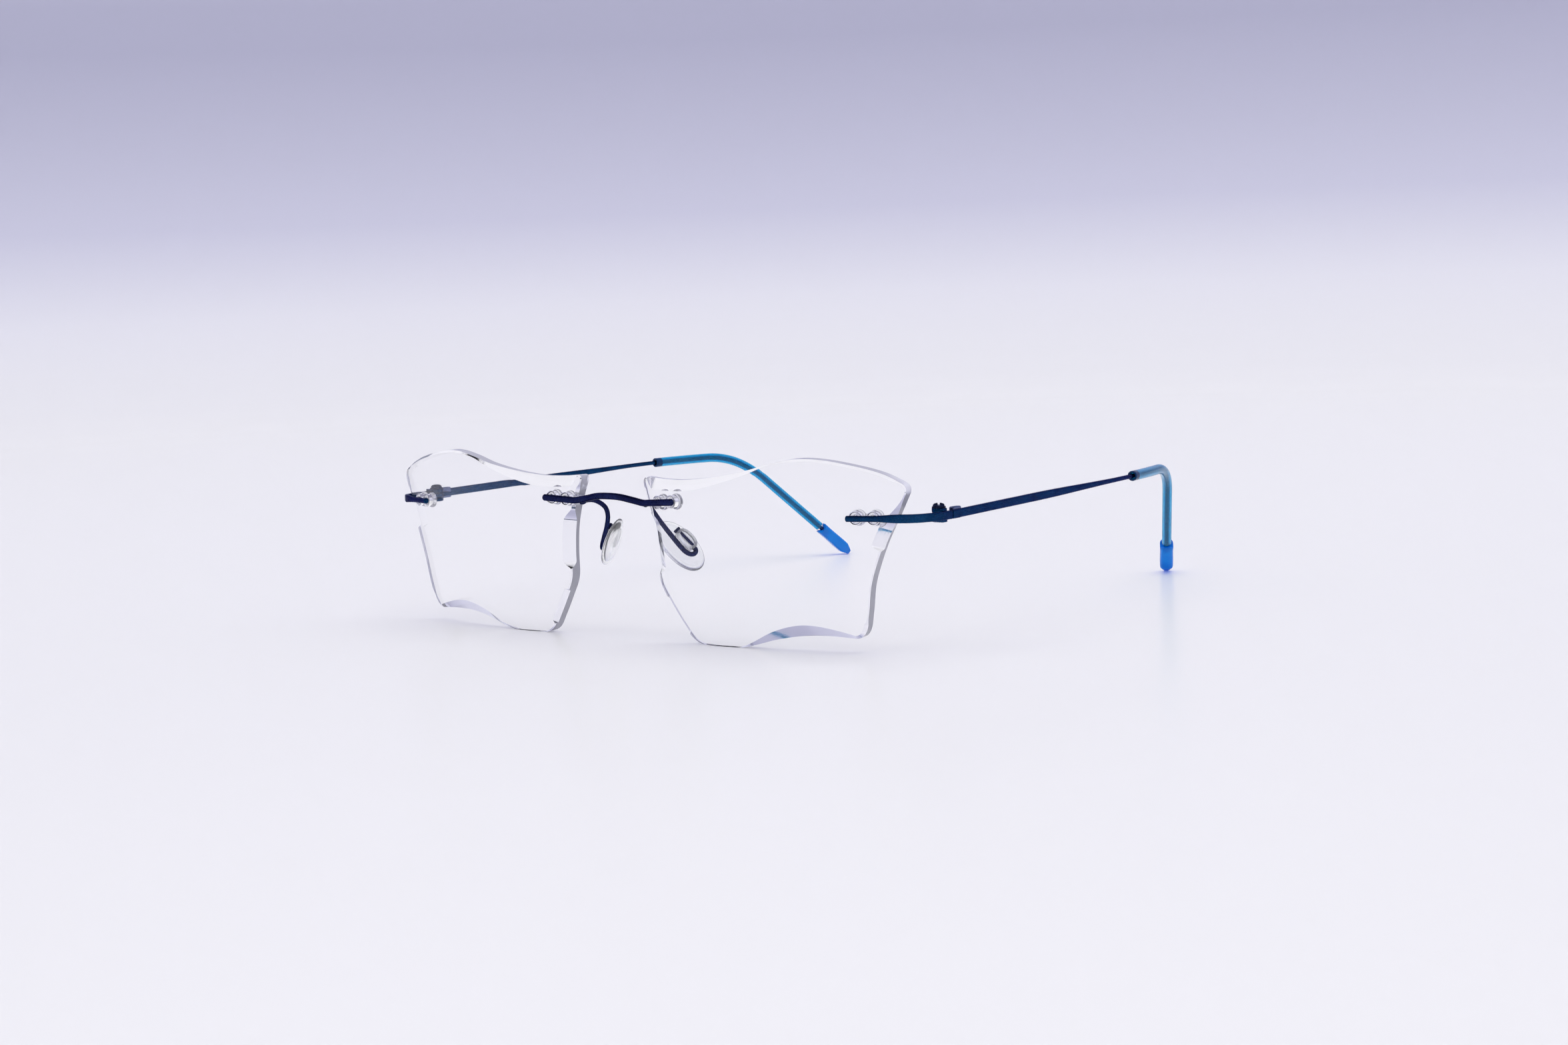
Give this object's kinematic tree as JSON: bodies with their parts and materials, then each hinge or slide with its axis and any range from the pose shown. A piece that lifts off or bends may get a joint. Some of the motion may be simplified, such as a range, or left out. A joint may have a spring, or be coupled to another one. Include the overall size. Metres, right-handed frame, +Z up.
{
  "type": "rimless eyeglasses",
  "caption": "Rimless eyeglasses: clear drilled lenses on a navy wire bridge, with clear nose pads and folding wire temples in translucent blue sleeves.",
  "frame": {"origin": "bottom centre of the whole pair's box, on the surface it stands on, with the temples open", "axes": "+Z up, the front of the lenses faces -Y, the temples run along +Y, the wearer's left is +X"},
  "size_m": [0.1448, 0.142, 0.0382],
  "materials": {
    "lens_clear": "polished clear lens plastic",
    "plug_clear": "clear moulded plastic",
    "pad_soft": "clear soft silicone",
    "navy_metal": "glossy dark navy plating over metal wire",
    "blue_metal": "glossy deep blue plating over metal",
    "screw_steel": "dark plated screw",
    "sleeve_blue": "translucent blue tubing",
    "cap_blue": "translucent saturated blue plastic"
  },
  "bodies": {
    "front": {"bridge": "navy_metal", "lens_left": "lens_clear", "nose_plug_left": "plug_clear", "temple_plug_left": "plug_clear", "pad_arm_left": "navy_metal", "end_piece_left": "blue_metal", "hinge_screw_left": "screw_steel", "lens_right": "lens_clear", "nose_plug_right": "plug_clear", "temple_plug_right": "plug_clear", "pad_arm_right": "navy_metal", "end_piece_right": "blue_metal", "hinge_screw_right": "screw_steel"},
    "pad_left": {"pad_box_left": "plug_clear", "nose_pad_left": "pad_soft"},
    "temple_left": {"temple_left": "blue_metal", "temple_sleeve_left": "sleeve_blue", "tip_cap_left": "cap_blue"},
    "pad_right": {"pad_box_right": "plug_clear", "nose_pad_right": "pad_soft"},
    "temple_right": {"temple_right": "blue_metal", "temple_sleeve_right": "sleeve_blue", "tip_cap_right": "cap_blue"}
  },
  "joints": [
    {"name": "temple_hinge_left", "type": "hinge", "parent": "front", "child": "temple_left", "pos_m": [0.0697, -0.0506, 0.02635], "axis": [0, 0, 1], "range_deg": [0, 83]},
    {"name": "temple_hinge_right", "type": "hinge", "parent": "front", "child": "temple_right", "pos_m": [-0.0697, -0.0506, 0.02635], "axis": [0, 0, -1], "range_deg": [0, 75]},
    {"name": "pad_rock_left", "type": "hinge", "parent": "front", "child": "pad_left", "pos_m": [0.01126, -0.05806, 0.02011], "axis": [-0.5584, -0.359, 0.7479], "range_deg": [-6, 6]},
    {"name": "pad_rock_right", "type": "hinge", "parent": "front", "child": "pad_right", "pos_m": [-0.01126, -0.05806, 0.02011], "axis": [0.5584, -0.359, 0.7479], "range_deg": [-6, 6]}
  ]
}
